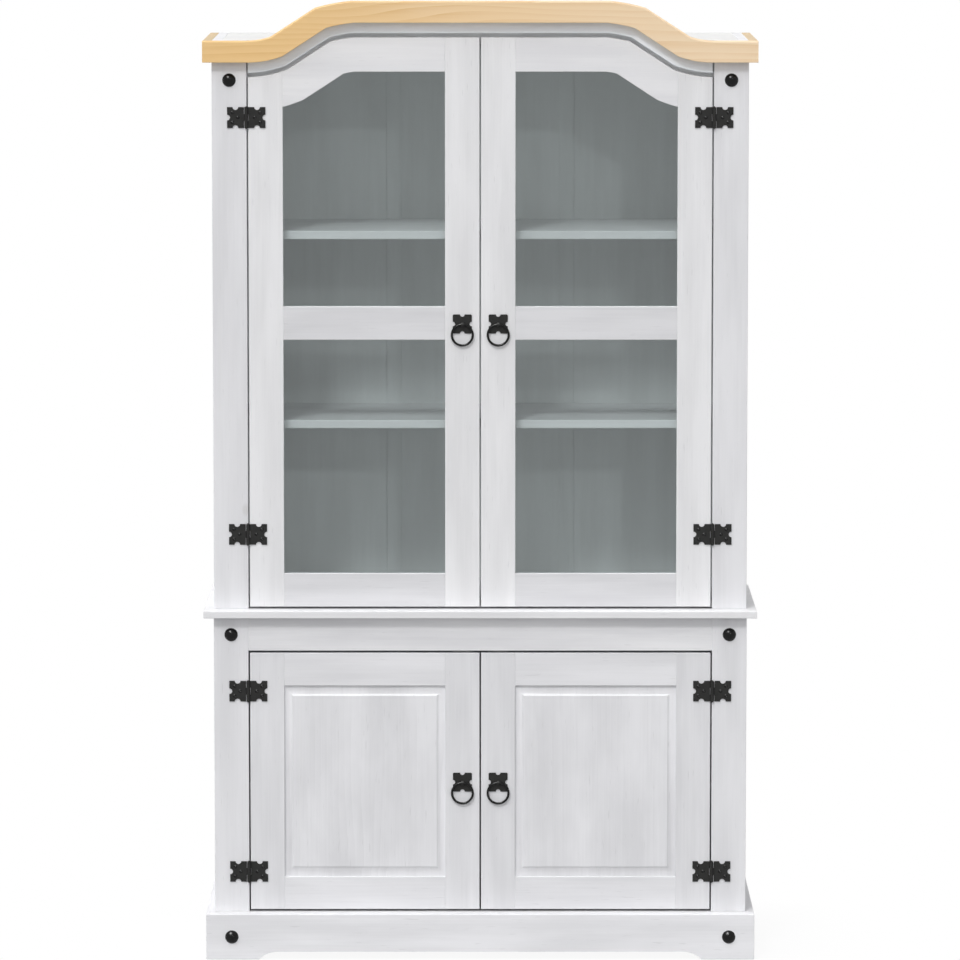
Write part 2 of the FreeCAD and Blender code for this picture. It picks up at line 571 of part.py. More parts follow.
def make_studs():
    """Domed studs on the posts and plinth, driven into the wood by their shanks."""
    sphere_r = (STUD_R ** 2 + STUD_H ** 2) / (2 * STUD_H)
    rim_angle = math.asin(STUD_R / sphere_r)
    stud_x = HALF_W - POST_W / 2
    studs = []
    for face_y, z in ((HUTCH_Y, ARCH_FOOT_Z - STUD_DROP), (BASE_Y, WORKTOP_Z - STUD_DROP),
                      (PLINTH_Y, PLINTH_H / 2)):
        bands = []
        for band in range(DOME_BANDS):
            angle = rim_angle * (1 - band / DOME_BANDS)
            y = face_y - STUD_H + sphere_r * (1 - math.cos(angle))
            bands.append(round_wire(sphere_r * math.sin(angle), Vector(stud_x, y, z), BACKWARD, STUD_SIDES))
        tip = Part.Vertex(stud_x, face_y - STUD_H, z)
        shank = rod(SHANK_R, SHANK_L, Vector(stud_x, face_y, z), BACKWARD)
        stud = Part.makeLoft(bands + [tip], True, True).fuse(shank).removeSplitter()
        studs += [stud, mirrored(stud)]
    save("domed_studs", *studs)


def make_doors():
    """Both pairs of doors."""
    stiles, rails, arched, panes = glazed_door_frame()
    save_pair("hutch_left_stiles", "hutch_right_stiles", *stiles)
    save_pair("hutch_left_arched_rail", "hutch_right_arched_rail", arched)
    save_pair("hutch_left_rails", "hutch_right_rails", *rails)
    save_pair("hutch_left_glass", "hutch_right_glass", *panes)
    (outer, inner, top, bottom), panel = panelled_door_frame()
    save_pair("base_left_stiles", "base_right_stiles", outer, inner)
    save_pair("base_left_rails", "base_right_rails", top, bottom)
    save_pair("base_left_panel", "base_right_panel", panel)


os.makedirs("parts", exist_ok=True)
make_plinth()
make_base()
make_hutch()
make_battens()
make_doors()
make_hinges()
make_pulls_and_catches()
make_studs()
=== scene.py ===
# %% [markdown]
# A two-piece pine display cabinet in the rustic Mexican style: a cupboard base, a glazed hutch with an arched
# cornice, and black iron hinges, ring pulls and studs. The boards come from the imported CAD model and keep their
# shapes. This lesson gives them paint, wood, glass and iron, adds the small ironwork, and sets the light and the
# camera.

# %% Load the frame
import math
import bpy
import numpy as np
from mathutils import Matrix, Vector


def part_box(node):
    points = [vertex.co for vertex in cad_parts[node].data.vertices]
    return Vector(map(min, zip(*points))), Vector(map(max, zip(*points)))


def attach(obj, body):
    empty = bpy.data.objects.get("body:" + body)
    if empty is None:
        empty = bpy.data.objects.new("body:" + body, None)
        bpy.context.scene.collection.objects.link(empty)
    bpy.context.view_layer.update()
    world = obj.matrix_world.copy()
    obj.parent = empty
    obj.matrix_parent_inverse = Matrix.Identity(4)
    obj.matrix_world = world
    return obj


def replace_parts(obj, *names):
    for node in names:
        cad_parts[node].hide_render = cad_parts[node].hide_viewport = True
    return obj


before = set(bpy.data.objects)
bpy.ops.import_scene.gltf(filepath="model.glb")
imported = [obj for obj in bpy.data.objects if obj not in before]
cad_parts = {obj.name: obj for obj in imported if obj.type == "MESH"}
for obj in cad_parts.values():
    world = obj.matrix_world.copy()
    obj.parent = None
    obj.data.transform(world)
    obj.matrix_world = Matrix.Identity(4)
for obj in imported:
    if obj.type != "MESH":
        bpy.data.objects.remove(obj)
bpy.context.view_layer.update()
scene = bpy.context.scene
scene.view_settings.view_transform = "Standard"

# %% [markdown]
# The photograph was taken from far away with a long lens: the uprights close in only a little towards the floor.
# The eye's height and the lens were worked out from that closing-in and from how much of the worktop's top shows.
# A camera can be aimed with a constraint or with angles. Angles are used here, because the picture has to stay put
# to the pixel. The cabinet's middle is a quarter of a pixel off the picture's, which the lens shift takes up.

# %% Camera
PICTURE_PIXELS = 960.0
LENS_PIXELS = 6150.0
OFF_CENTRE_PIXELS = 0.25
DOWN_TILT = math.radians(6.585)
EYE_PLACE = (0.0, -12.5235, 2.403)
SENSOR_WIDTH = 36.0
FAR_END = 200.0

lens = bpy.data.cameras.new("studio_lens")
lens.sensor_width = SENSOR_WIDTH
lens.lens = SENSOR_WIDTH * LENS_PIXELS / PICTURE_PIXELS
lens.shift_x = -OFF_CENTRE_PIXELS / PICTURE_PIXELS
lens.clip_end = FAR_END
camera = bpy.data.objects.new("studio_camera", lens)
camera.location = EYE_PLACE
camera.rotation_euler = (math.pi / 2 - DOWN_TILT, 0.0, 0.0)
scene.collection.objects.link(camera)
scene.camera = camera
print("lens", round(lens.lens, 1), "mm")

# %% [markdown]
# Colours are written as screen hex values, as a paint chart gives them, but the renderer counts light, so one
# function turns them to linear numbers. Node trees are long to write by hand. One small function puts in a node
# with its settings and joins its sockets, and every material below is built from it.

# %% Colour and node helpers
def linear(hex_colour):
    """Screen value s becomes light: ((s + 0.055) / 1.055) to the power 2.4, or s / 12.92 near black."""
    screen = np.array([int(hex_colour[i:i + 2], 16) for i in (1, 3, 5)]) / 255.0
    light = np.where(screen <= 0.04045, screen / 12.92, ((screen + 0.055) / 1.055) ** 2.4)
    return (*light.tolist(), 1.0)


def add(tree, kind, links=None, **settings):
    """Put in one node: its settings by name, and its sockets, each given a value or joined to another socket."""
    made = tree.nodes.new(kind)
    for name, value in settings.items():
        setattr(made, name, value)
    for socket, value in (links or {}).items():
        if isinstance(value, bpy.types.NodeSocket):
            tree.links.new(value, made.inputs[socket])
        else:
            made.inputs[socket].default_value = value
    return made


def start_material(name, **sockets):
    """A material with only its main shader, some of its sockets set; returns material, tree and shader."""
    made = bpy.data.materials.new(name)
    made.use_nodes = True
    tree = made.node_tree
    tree.nodes.clear()
    shader = add(tree, "ShaderNodeBsdfPrincipled", sockets)
    add(tree, "ShaderNodeOutputMaterial", {"Surface": shader.outputs[0]})
    return made, tree, shader


print("paint white in light:", [round(v, 3) for v in linear("#E4E4E7")[:3]])

# %% [markdown]
# The studio. The cabinet stands on a white sweep with nothing else in sight. A sweep can be a curved backdrop, but
# the camera looks down so far that the floor alone fills the picture. For camera, mirror and glass rays the floor
# is white, with a pale shadow close to the plinth that fades out. Other rays see a duller floor, so that it
# doesn't light the undersides more than a real one would.

# %% Floor
MM = 0.001
FLOOR_HALF = 90.0
FOOTPRINT_HALF = (0.56, 0.22, 0.0)
SHADOW_REACH = 0.30
SHADOW_WHITE = 0.93

floor_mesh = bpy.data.meshes.new("studio_floor")
floor_mesh.from_pydata(
    [(-FLOOR_HALF, -FLOOR_HALF, 0.0), (FLOOR_HALF, -FLOOR_HALF, 0.0),
     (FLOOR_HALF, FLOOR_HALF, 0.0), (-FLOOR_HALF, FLOOR_HALF, 0.0)], [], [(0, 1, 2, 3)])
floor = bpy.data.objects.new("studio_floor", floor_mesh)
scene.collection.objects.link(floor)


def seen_rays(tree):
    """One where a ray comes from the camera, a mirror or glass, and zero for light that bounces around."""
    path = add(tree, "ShaderNodeLightPath")
    mirror = add(tree, "ShaderNodeMath",
                 {0: path.outputs["Is Glossy Ray"], 1: path.outputs["Is Transmission Ray"]}, operation="ADD")
    return add(tree, "ShaderNodeMath", {0: path.outputs["Is Camera Ray"], 1: mirror.outputs[0]},
               operation="ADD", use_clamp=True).outputs[0]


# Matt paper that looks blank white, with only a breath of shadow at the plinth
paper, tree, shader = start_material("white_paper_sweep", **{"Roughness": 0.9, "Specular IOR Level": 0.0})
seen = seen_rays(tree)
tone = add(tree, "ShaderNodeMix", {0: seen, 6: linear("#AAAAAA"), 7: linear("#F4F4F4")}, data_type="RGBA")
tree.links.new(tone.outputs[2], shader.inputs["Base Color"])
spot = add(tree, "ShaderNodeTexCoord").outputs["Object"]
spread = add(tree, "ShaderNodeVectorMath", {0: spot}, operation="ABSOLUTE").outputs[0]
beyond = add(tree, "ShaderNodeVectorMath", {0: spread, 1: FOOTPRINT_HALF}, operation="SUBTRACT").outputs[0]
outside = add(tree, "ShaderNodeVectorMath", {0: beyond, 1: (0.0, 0.0, 0.0)}, operation="MAXIMUM").outputs[0]
away = add(tree, "ShaderNodeVectorMath", {0: outside}, operation="LENGTH").outputs["Value"]
fade = add(tree, "ShaderNodeMapRange", {"Value": away, "From Max": SHADOW_REACH, "To Min": SHADOW_WHITE},
           interpolation_type="SMOOTHSTEP").outputs[0]
bare = add(tree, "ShaderNodeMath", {0: fade, 1: seen}, operation="MULTIPLY").outputs[0]
white = add(tree, "ShaderNodeEmission", {"Color": (1.0, 1.0, 1.0, 1.0)}).outputs[0]
sweep = add(tree, "ShaderNodeMixShader", {0: bare, 1: shader.outputs[0], 2: white}).outputs[0]
tree.links.new(sweep, tree.nodes["Material Output"].inputs["Surface"])
floor_mesh.materials.append(paper)
print("shadow fades out", SHADOW_REACH, "m from the plinth")

# %% [markdown]
# The light. Behind the glass the photograph shows where it comes from. Each shelf throws an edge onto the back,
# and so do the rails: one set of edges fits a main lamp about 45 degrees up and a little to the left, and a weaker
# set fits a low lamp at the right. A lamp can stand in the room, or so far off that its light runs one way
# everywhere. One direction fits each set, so these are far lamps. The soft box's glint on the iron is a lamp of its
# own, which only the gloss sees, so that it adds nothing to the paint. A weak lamp behind the cabinet keeps its back
# from going grey when it is turned round. The gloss doesn't see that one, because it would glare off the top
# boards, which the camera looks along.

# %% Lamps
def far_lamp(name, travel, level, blur):
    """A sun whose light travels along the given direction; level 1 lights a facing board to its own colour."""
    data = bpy.data.lights.new(name, "SUN")
    data.energy = level * math.pi
    data.angle = math.radians(blur)
    lamp = bpy.data.objects.new(name, data)
    lamp.rotation_euler = Vector(travel).to_track_quat("-Z", "Y").to_euler()
    scene.collection.objects.link(lamp)
    return lamp


far_lamp("main_lamp", travel=(0.32, 1.0, -1.0), level=0.31, blur=11.0)
far_lamp("low_lamp", travel=(-0.28, 1.0, -0.375), level=0.06, blur=2.5)
glint_lamp = far_lamp("glint_lamp", travel=(0.28, 0.41, -0.87), level=1.8, blur=28.0)
glint_lamp.visible_diffuse = False
back_lamp = far_lamp("back_lamp", travel=(0.25, -1.0, -0.35), level=0.25, blur=25.0)
back_lamp.visible_glossy = False
print("lamps: 4")

# %% [markdown]
# The rest of the light is a bright room with a large soft box high up at the front left. It makes the tops of the
# boards whiter than their fronts and leaves soft shadows at the right of the posts. The world's background draws
# the box as a bright lobe, because an area lamp that large would be slow and noisy.

# %% Room light
ROOM_LEVEL = 0.35
BOX_LEVEL = 1.5
BOX_PLACE = (-0.36, -0.36, 0.86)
BOX_FOCUS = 4.0
room = bpy.data.worlds.new("white_room")
room.use_nodes = True
scene.world = room
tree = room.node_tree
tree.nodes.clear()
look = add(tree, "ShaderNodeTexCoord").outputs["Generated"]
near = add(tree, "ShaderNodeVectorMath", {0: look, 1: BOX_PLACE}, operation="DOT_PRODUCT").outputs["Value"]
facing = add(tree, "ShaderNodeMath", {0: near, 1: 0.0}, operation="MAXIMUM").outputs[0]
peak = add(tree, "ShaderNodeMath", {0: facing, 1: BOX_FOCUS}, operation="POWER").outputs[0]
glow = add(tree, "ShaderNodeMath", {0: peak, 1: BOX_LEVEL, 2: ROOM_LEVEL}, operation="MULTIPLY_ADD").outputs[0]
level = add(tree, "ShaderNodeMix", {0: seen_rays(tree), 2: glow, 3: 1.0}).outputs[0]
air = add(tree, "ShaderNodeBackground", {"Color": (1.0, 1.0, 1.0, 1.0), "Strength": level})
add(tree, "ShaderNodeOutputWorld", {"Surface": air.outputs[0]})
print("room light from", ROOM_LEVEL, "to", ROOM_LEVEL + BOX_LEVEL, "in the soft box")

# %% [markdown]
# Wood first. A board is a slice through rings that grew round a pith, so rings are drawn as what they are: shells
# round a line along the grain, bent slowly along their length. Noise drawn out along the grain gives the fine
# streaks. Knots are a sparse scatter of ovals. Both the painted and the bare boards below start from these three.
# Neighbouring boards take their figure from different places, so that none runs on across a joint.

# %% Grain, rings and knots
AXES = {"x": 0, "y": 1, "z": 2}
STREAK_SHIFT = (3.17, 1.93, 2.41)
KNOT_SHIFT = (2.13, 3.71, 1.37)
KNOT_APART = 240.0 * MM
KNOT_RADIUS = 10.0 * MM
KNOT_HEART = 0.3
KNOT_LENGTH = 1.7
KNOT_LEAN = 0.15
KNOT_SHARE = 0.55
RING_BEND = 45.0 * MM
BEND_BAND = (90.0 * MM, 7.0)


def own_place(tree, board, scale, shift):
    """Object coordinates, scaled, and moved by the board's number times shift, which gives it its own figure."""
    place = add(tree, "ShaderNodeTexCoord").outputs["Object"]
    moved = [board * step for step in shift]
    return add(tree, "ShaderNodeMapping", {"Vector": place, "Scale": scale, "Location": moved}).outputs[0]


def streaks(tree, axis, board, band, detail=2.0):
    """Noise that changes within the band's width across the grain, and within so many times that width along it."""
    across, stretch = band
    scale = [1.0, 1.0, 1.0]
    scale[AXES[axis]] = 1.0 / stretch
    drawn = own_place(tree, board, scale, STREAK_SHIFT)
    return add(tree, "ShaderNodeTexNoise", {"Vector": drawn, "Scale": 1.0 / across, "Detail": detail}).outputs[0]


def rings(tree, axis, board, pith, apart):
    """From 0 in a year's early wood to 1 in its late wood: distance from the bent pith line over the ring width."""
    flat = [1.0, 1.0, 1.0]
    flat[AXES[axis]] = 0.0
    place = add(tree, "ShaderNodeTexCoord").outputs["Object"]
    out = add(tree, "ShaderNodeVectorMath", {0: place, 1: pith}, operation="SUBTRACT").outputs[0]
    across = add(tree, "ShaderNodeVectorMath", {0: out, 1: flat}, operation="MULTIPLY").outputs[0]
    radius = add(tree, "ShaderNodeVectorMath", {0: across}, operation="LENGTH").outputs["Value"]
    bend = streaks(tree, axis, board, BEND_BAND, detail=1.5)
    bent = add(tree, "ShaderNodeMath", {0: bend, 1: RING_BEND, 2: radius}, operation="MULTIPLY_ADD").outputs[0]
    years = add(tree, "ShaderNodeMath", {0: bent, 1: 1.0 / apart}, operation="MULTIPLY").outputs[0]
    return add(tree, "ShaderNodeMath", {0: years}, operation="FRACT").outputs[0]


def knots(tree, axis, board, through):
    """One at the heart of a knot, falling to zero at its rim; a knot is a branch that runs through the board."""
    scale = [1.0, 1.0, 1.0]
    scale[AXES[axis]] = 1.0 / KNOT_LENGTH
    scale[AXES[through]] = KNOT_LEAN
    drawn = own_place(tree, board, scale, KNOT_SHIFT)
    cells = add(tree, "ShaderNodeTexVoronoi", {"Vector": drawn, "Scale": 1.0 / KNOT_APART}).outputs
    rim = KNOT_RADIUS / KNOT_APART
    heart = add(tree, "ShaderNodeMapRange",
                {"Value": cells["Distance"], "From Min": rim, "From Max": KNOT_HEART * rim},
                interpolation_type="SMOOTHSTEP").outputs[0]
    kept = add(tree, "ShaderNodeMath", {0: cells["Color"], 1: KNOT_SHARE}, operation="LESS_THAN").outputs[0]
    return add(tree, "ShaderNodeMath", {0: heart, 1: kept}, operation="MULTIPLY").outputs[0]


def dress(finish, *names):
    """Give the CAD nodes this finish in their material slot."""
    for name in names:
        mesh = bpy.data.objects[name].data
        mesh.materials.clear()
        mesh.materials.append(finish)


def both_sides(*patterns):
    """The left and the right node of each name pattern."""
    return [pattern % side for pattern in patterns for side in ("left", "right")]


print("knots about", KNOT_APART, "m apart")

# %% [markdown]
# The white boards are planed softwood under two coats of satin paint, laid off along the grain. The paint hides
# the wood's colour and nearly all of its grain. What stays is broad soft bands, the faint arches of the rings, a
# few thin dark dashes where the soft wood drank the paint, and a rare grey knot. The panels are wide boards, and
# their bands are wider and shorter. Each kind of board has its own coat, a shade lighter or darker. Some of that is
# painted light and shade: the fascia's paler, bluer coat and the stop rail's whiter one lift the shade under the
# cornice, and the greyer coats of the hutch's back and shelves stand partly for the shade inside the hutch. The top,
# which nobody sees from below, has one matt coat.

# %% Painted pine
BAND = (46.0 * MM, 7.0)
PANEL_BAND = (90.0 * MM, 2.4)
FINE_BAND = (4.0 * MM, 45.0)
PATCH_BAND = (38.0 * MM, 6.0)
DASH_BAND = (3.2 * MM, 11.0)
RING_WIDTH = 13.0 * MM
GRAIN_SHARE = 0.2
DASH_SHARE = 0.26
STAIN_SHARE = 0.45
PATCH_APART = 0.3
DASH_APART = 0.5
PITH_REACH_X = 70.0 * MM
PITH_Y = 20.0 * MM
PITH_REACH_Y = 30.0 * MM
PITH_Z = 400.0 * MM
PORE_DEPTH = 0.3 * MM
PORE_STRENGTH = 0.08


def painted_pine(name, axis, board, pale, dull, figure=0.25, through="y", gloss=0.5, band=BAND):
    """White paint over pine. figure is how much of the rings shows, through is the board's thin direction, gloss is
    how much the coat mirrors, and band is the soft bands' width and how many times longer they are."""
    made, tree, shader = start_material(name, **{"Specular IOR Level": gloss})
    broad = streaks(tree, axis, board, band, detail=3.0)
    fine = streaks(tree, axis, board, FINE_BAND)
    patch = streaks(tree, axis, board + PATCH_APART, PATCH_BAND, detail=1.0)
    bare = add(tree, "ShaderNodeMapRange",
               {"Value": patch, "From Min": 0.45, "From Max": 0.7, "To Max": figure}).outputs[0]
    pith = (PITH_REACH_X * math.cos(board), PITH_Y + PITH_REACH_Y * math.sin(board), PITH_Z)
    ring = rings(tree, axis, board, pith, RING_WIDTH)
    grain = add(tree, "ShaderNodeMix", {0: bare, 2: fine, 3: ring}).outputs[0]
    mixed = add(tree, "ShaderNodeMix", {0: GRAIN_SHARE, 2: broad, 3: grain}).outputs[0]
    cover = add(tree, "ShaderNodeMapRange", {"Value": mixed, "From Min": 0.37, "From Max": 0.63}).outputs[0]
    coat = add(tree, "ShaderNodeMix", {0: cover, 6: linear(dull), 7: linear(pale)}, data_type="RGBA").outputs[2]
    thirsty = streaks(tree, axis, board + DASH_APART, DASH_BAND, detail=1.0)
    dash = add(tree, "ShaderNodeMapRange",
               {"Value": thirsty, "From Min": 0.70, "From Max": 0.80, "To Max": DASH_SHARE}).outputs[0]
    dashed = add(tree, "ShaderNodeMix", {0: dash, 6: coat, 7: linear("#B4B4B6")}, data_type="RGBA").outputs[2]
    knot = add(tree, "ShaderNodeMath", {0: knots(tree, axis, board, through), 1: STAIN_SHARE},
               operation="MULTIPLY").outputs[0]
    stained = add(tree, "ShaderNodeMix", {0: knot, 6: dashed, 7: linear("#C4C3C2")}, data_type="RGBA").outputs[2]
    sheen = add(tree, "ShaderNodeMapRange",
                {"Value": broad, "From Min": 0.3, "From Max": 0.7, "To Min": 0.46, "To Max": 0.58}).outputs[0]
    sunk = add(tree, "ShaderNodeBump",
               {"Height": fine, "Strength": PORE_STRENGTH, "Distance": PORE_DEPTH}).outputs[0]
    for socket, value in {"Base Color": stained, "Roughness": sheen, "Normal": sunk}.items():
        tree.links.new(value, shader.inputs[socket])
    return made


print("bands", BAND[0], "m wide, on the panels", PANEL_BAND[0], "m")

# %% Upright boards
# Soft white with vertical bands
post_paint = painted_pine("painted_pine_posts", "z", 1, "#E8E8EB", "#DEDEE1")
hutch_stile_paint = painted_pine("painted_pine_hutch_stiles", "z", 2, "#EDEDEF", "#E2E2E4")
base_stile_paint = painted_pine("painted_pine_base_stiles", "z", 3, "#E6E6E9", "#DADADD")
side_paint = painted_pine("painted_pine_sides", "z", 4, "#E8E8EB", "#DCDCDF", through="x")
panel_paint = painted_pine("painted_pine_panels", "z", 5, "#E9E9EC", "#DBDBDE", figure=0.5, band=PANEL_BAND)
# The back's coat is greyer than the fronts': partly painted shade, standing for the dark inside of the hutch.
back_paint = painted_pine("painted_pine_back_boards", "z", 6, "#DDDFDF", "#D4D6D6")
dress(post_paint, *both_sides("base_post_%s", "hutch_post_%s"))
dress(hutch_stile_paint, *both_sides("hutch_%s_stiles"))
dress(base_stile_paint, *both_sides("base_%s_stiles"))
dress(side_paint, *both_sides("base_side_%s", "hutch_side_%s"))
dress(panel_paint, *both_sides("base_%s_panel"))
dress(back_paint, "base_back", "hutch_back")
print("upright boards: 6 coats")

# %% Level boards
# The same white with bands along them
hutch_rail_paint = painted_pine("painted_pine_hutch_rails", "x", 7, "#E0E0E3", "#D4D4D7")
base_rail_paint = painted_pine("painted_pine_base_rails", "x", 8, "#EAEAED", "#DEDEE1")
top_rail_paint = painted_pine("painted_pine_top_rail", "x", 9, "#EEEEF0", "#DEDEE1")
arch_paint = painted_pine("painted_pine_arched_rails", "x", 10, "#EDEDEF", "#E3E3E6")
# The fascia's coat is paler and bluer and the stop rail's whiter than the other rails: painted light, lifting the
# shade under the cornice and cancelling the cornice's warm bounce.
fascia_paint = painted_pine("painted_pine_fascia", "x", 11, "#F3F7FC", "#E7EBF0")
stop_paint = painted_pine("painted_pine_stop_rail", "x", 15, "#FCFCFB", "#F0F0EF")
worktop_paint = painted_pine("painted_pine_worktop", "x", 16, "#ECECEE", "#E2E2E4", through="z")
top_paint = painted_pine("painted_pine_top_board", "x", 17, "#E8E8E7", "#DEDEDD", through="z", gloss=0.15)
# The shelves' coat is a little greyer too: partly painted shade inside the hutch.
shelf_paint = painted_pine("painted_pine_shelves", "x", 12, "#E2E2E3", "#D9D9DA", through="z")
plinth_paint = painted_pine("painted_pine_plinth", "x", 13, "#F0F0F3", "#E4E4E7")
deep_paint = painted_pine("painted_pine_deep_boards", "y", 14, "#E8E8EB", "#DCDCDF", through="x")
dress(hutch_rail_paint, *both_sides("hutch_%s_rails"))
dress(base_rail_paint, *both_sides("base_%s_rails"))
dress(top_rail_paint, "base_top_rail")
dress(arch_paint, *both_sides("hutch_%s_arched_rail"))
dress(fascia_paint, "hutch_fascia")
dress(stop_paint, "hutch_stop_rail")
dress(worktop_paint, "worktop")
dress(top_paint, "hutch_top")
dress(shelf_paint, "hutch_floor", "base_floor", "base_shelf", "hutch_shelf_upper", "hutch_shelf_lower")
dress(plinth_paint, "plinth_front", "plinth_back", "plinth_cleats")
dress(deep_paint, *both_sides("plinth_side_%s"), "shelf_battens")
print("level boards: 11 coats")

# %% [markdown]
# The cornice is the one board left bare: pine with a thin clear wax. Its rings are cut through by the board's
# face, which gives long soft lines, honey where the late wood is and pale between. The board is redder and darker
# towards its left end, as if it was cut nearer to the heart there.

# %% Waxed pine
HEART_X = -0.5
SAP_X = 0.45
STRAY = 0.5
CLOUD_BAND = (60.0 * MM, 5.0)
WAX_FINE_BAND = (3.0 * MM, 30.0)
WAX_RING_WIDTH = 10.0 * MM
WAX_GLOSS = 0.15
LATE_POWER = 1.6
BROWN_SHARE = 0.35


def waxed_pine(name, axis, board, pith, heart, sap):
    """Bare pine: from heart to sap colour along X, honey rings, fine streaks and brown knots."""
    made, tree, shader = start_material(name, **{"Specular IOR Level": WAX_GLOSS})
    place = add(tree, "ShaderNodeTexCoord").outputs["Object"]
    along = add(tree, "ShaderNodeSeparateXYZ", {0: place}).outputs["X"]
    cloud = streaks(tree, axis, board, CLOUD_BAND, detail=1.0)
    stray = add(tree, "ShaderNodeMath", {0: cloud, 1: STRAY, 2: along}, operation="MULTIPLY_ADD").outputs[0]
    outer = add(tree, "ShaderNodeMapRange",
                {"Value": stray, "From Min": HEART_X + STRAY / 2, "From Max": SAP_X + STRAY / 2},
                interpolation_type="SMOOTHSTEP").outputs[0]
    ground = add(tree, "ShaderNodeMix", {0: outer, 6: linear(heart), 7: linear(sap)}, data_type="RGBA").outputs[2]
    ring = rings(tree, axis, board, pith, WAX_RING_WIDTH)
    late = add(tree, "ShaderNodeMath", {0: ring, 1: LATE_POWER}, operation="POWER").outputs[0]
    fine = streaks(tree, axis, board, WAX_FINE_BAND)
    cut = add(tree, "ShaderNodeMapRange",
              {"Value": cloud, "From Min": 0.35, "From Max": 0.65, "To Min": 0.25}).outputs[0]
    shown = add(tree, "ShaderNodeMath", {0: cut, 1: fine}, operation="MULTIPLY").outputs[0]
    depth = add(tree, "ShaderNodeMath", {0: late, 1: shown}, operation="MULTIPLY").outputs[0]
    ringed = add(tree, "ShaderNodeMix", {0: depth, 6: ground, 7: linear("#DDAE6C")}, data_type="RGBA").outputs[2]
    knot = add(tree, "ShaderNodeMath", {0: knots(tree, axis, board, "z"), 1: BROWN_SHARE},
               operation="MULTIPLY").outputs[0]
    knotty = add(tree, "ShaderNodeMix", {0: knot, 6: ringed, 7: linear("#B58449")}, data_type="RGBA").outputs[2]
    pores = add(tree, "ShaderNodeBump",
                {"Height": fine, "Strength": PORE_STRENGTH, "Distance": PORE_DEPTH}).outputs[0]
    shine = add(tree, "ShaderNodeMapRange", {"Value": late, "To Min": 0.55, "To Max": 0.45}).outputs[0]
    for socket, value in {"Base Color": knotty, "Roughness": shine, "Normal": pores}.items():
        tree.links.new(value, shader.inputs[socket])
    return made


# Warm honey wood with lines along the board; the one spot of colour on the cabinet
front_pine = waxed_pine("waxed_pine_front", "x", 21, pith=(0.0, 0.1, 1.62), heart="#F2CC92", sap="#F8DFBE")
# The returns take a darker, greyer ground than the front: painted shade, toning down the strong light on their tops.
return_pine = waxed_pine("waxed_pine_returns", "y", 22, pith=(0.15, 0.0, 1.70), heart="#D0B992", sap="#D4BE9A")
dress(front_pine, "cornice_front")
dress(return_pine, *both_sides("cornice_side_%s"))
print("bare pine: cornice front and two returns")

# %% [markdown]
# The panes are float glass, 4 mm thick, with the grey-green of iron in the melt. Glass that really bends light is
# slow and noisy when lamps have to shine through it into the hutch. A flat pane hardly moves what is behind it, so
# this one lets light straight through, tinted, and mirrors a little at its face.

# %% Float glass
GLASS_INDEX = 1.5

# Clear sheet that cools what is behind it to a grey-green and veils it with the white room
glass = bpy.data.materials.new("float_glass")
glass.use_nodes = True
tree = glass.node_tree
tree.nodes.clear()
through = add(tree, "ShaderNodeBsdfTransparent", {"Color": linear("#F4F7F7")}).outputs[0]
mirror = add(tree, "ShaderNodeBsdfGlossy", {"Color": (1.0, 1.0, 1.0, 1.0), "Roughness": 0.02}).outputs[0]
behind = add(tree, "ShaderNodeNewGeometry").outputs["Backfacing"]
index = add(tree, "ShaderNodeMapRange",
            {"Value": behind, "To Min": GLASS_INDEX, "To Max": 1.0 / GLASS_INDEX}).outputs[0]
share = add(tree, "ShaderNodeFresnel", {"IOR": index}).outputs[0]
pane = add(tree, "ShaderNodeMixShader", {0: share, 1: through, 2: mirror}).outputs[0]
add(tree, "ShaderNodeOutputMaterial", {"Surface": pane})
dress(glass, *both_sides("hutch_%s_glass"))
print("panes: 4 in 2 nodes")

# %% [markdown]
# Black iron. The hinges and pull plates are cut from sheet, lightly hammered, and blacked with a semi-matt
# lacquer, so they are charcoal with soft broken glints. The rings are bent rod and the studs cast domes, both under
# a glossier and blacker coat, which the screw heads have too. The catches behind the doors are white plastic.

# %% Blacked iron and plastic
IRON_GLOSS = 0.2
GLOSS_SPREAD = 0.06
LACQUER_CLOUD = 9.0 * MM
DENT_STRENGTH = 0.2
DENT_DEPTH = 0.4 * MM
PEBBLE = 1.2 * MM


def blacked_iron(name, dark, pale, rough, dent):
    """Lacquered iron: shallow hammer dents and a lacquer whose gloss and tone vary a little."""
    made, tree, shader = start_material(name, **{"Specular IOR Level": IRON_GLOSS})
    place = add(tree, "ShaderNodeTexCoord").outputs["Object"]
    dents = add(tree, "ShaderNodeTexVoronoi", {"Vector": place, "Scale": 1 / dent, "Smoothness": 0.8},
                feature="SMOOTH_F1").outputs["Distance"]
    cloud = add(tree, "ShaderNodeTexNoise", {"Vector": place, "Scale": 1 / LACQUER_CLOUD, "Detail": 3.0}).outputs[0]
    tone = add(tree, "ShaderNodeMix", {0: cloud, 6: linear(dark), 7: linear(pale)}, data_type="RGBA").outputs[2]
    gloss = add(tree, "ShaderNodeMapRange",
                {"Value": cloud, "From Min": 0.3, "From Max": 0.7,
                 "To Min": rough - GLOSS_SPREAD, "To Max": rough + GLOSS_SPREAD}).outputs[0]
    beaten = add(tree, "ShaderNodeBump",
                 {"Height": dents, "Strength": DENT_STRENGTH, "Distance": DENT_DEPTH}).outputs[0]
    for socket, value in {"Base Color": tone, "Roughness": gloss, "Normal": beaten}.items():
        tree.links.new(value, shader.inputs[socket])
    return made


